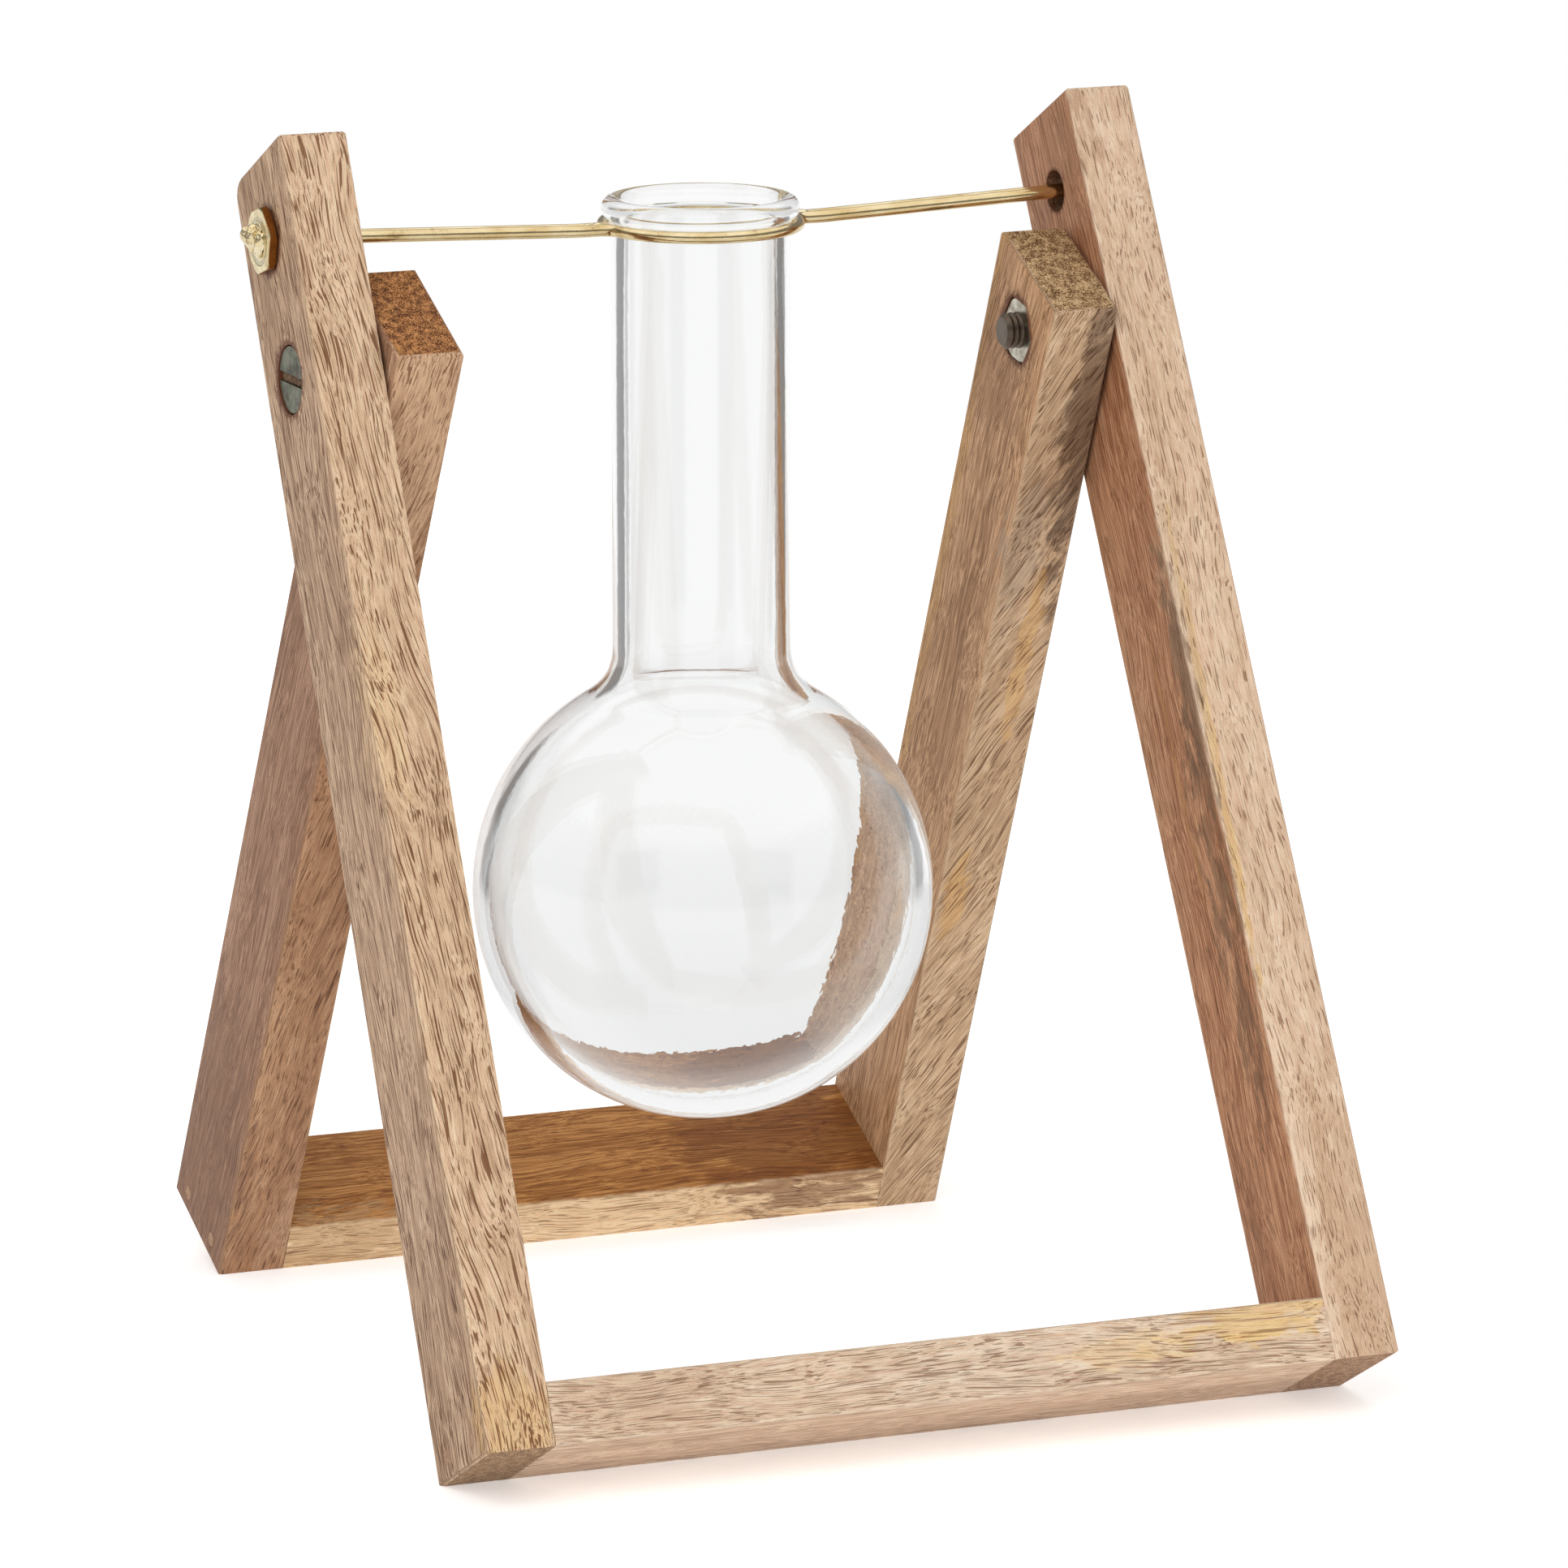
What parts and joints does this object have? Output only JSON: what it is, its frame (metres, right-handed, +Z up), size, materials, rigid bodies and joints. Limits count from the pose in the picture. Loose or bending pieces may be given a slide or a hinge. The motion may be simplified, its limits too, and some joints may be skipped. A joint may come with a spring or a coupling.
{
  "type": "propagation vase",
  "caption": "Propagation vase: a round-bottomed clear glass flask hung by its rim in a swinging brass wire ring between two hinged wooden frames that stand as an A",
  "frame": {"origin": "on the table, under the middle of the stand's bounding box", "axes": "+Z up, +X to the right along the rails as seen from the front, +Y to the back; the front frame's feet are at -Y"},
  "size_m": [0.1564, 0.1808, 0.2023],
  "materials": {
    "wood": "sanded, oiled",
    "wood_pale": "sanded, oiled",
    "wood_red": "sanded, oiled",
    "wood_dark": "sanded, oiled",
    "wood_golden": "sanded, oiled",
    "filler": "matt filler",
    "nail_steel": "bright",
    "steel": "dull plated",
    "brass": "polished",
    "glass": "clear, polished"
  },
  "bodies": {
    "front_frame": {"front_left_leg": "wood", "front_right_leg": "wood_pale", "front_rail": "wood_pale", "front_left_nails": "nail_steel", "front_left_plugs": "filler", "front_right_nails": "nail_steel", "front_right_plugs": "filler"},
    "back_frame": {"back_left_leg": "wood_red", "back_right_leg": "wood_dark", "back_rail": "wood_golden", "back_left_nails": "nail_steel", "back_left_plugs": "filler", "back_right_nails": "nail_steel", "back_right_plugs": "filler", "pivot_screw_left": "steel", "pivot_screw_right": "steel", "pivot_nut_left": "steel", "pivot_nut_right": "steel"},
    "holder": {"holder_front_wire": "brass", "holder_back_wire": "brass", "ring_braze_left": "brass", "ring_braze_right": "brass", "wire_end_left": "brass", "wire_end_right": "brass", "holder_nut_left": "brass", "holder_nut_right": "brass"},
    "flask": {"glass_flask": "glass"}
  },
  "joints": [
    {"name": "stand_fold", "type": "hinge", "parent": "front_frame", "child": "back_frame", "pos_m": [0, 0.00232, 0.16384], "axis": [1, 0, 0], "range_deg": [-44.5, 41.8]},
    {"name": "holder_swing", "type": "hinge", "parent": "front_frame", "child": "holder", "pos_m": [0, 0.0131, 0.18472], "axis": [1, 0, 0], "range_deg": [-60, 60]},
    {"name": "flask_lift", "type": "slide", "parent": "holder", "child": "flask", "axis": [0, 0, 1], "range_m": [0, 0.07]}
  ]
}
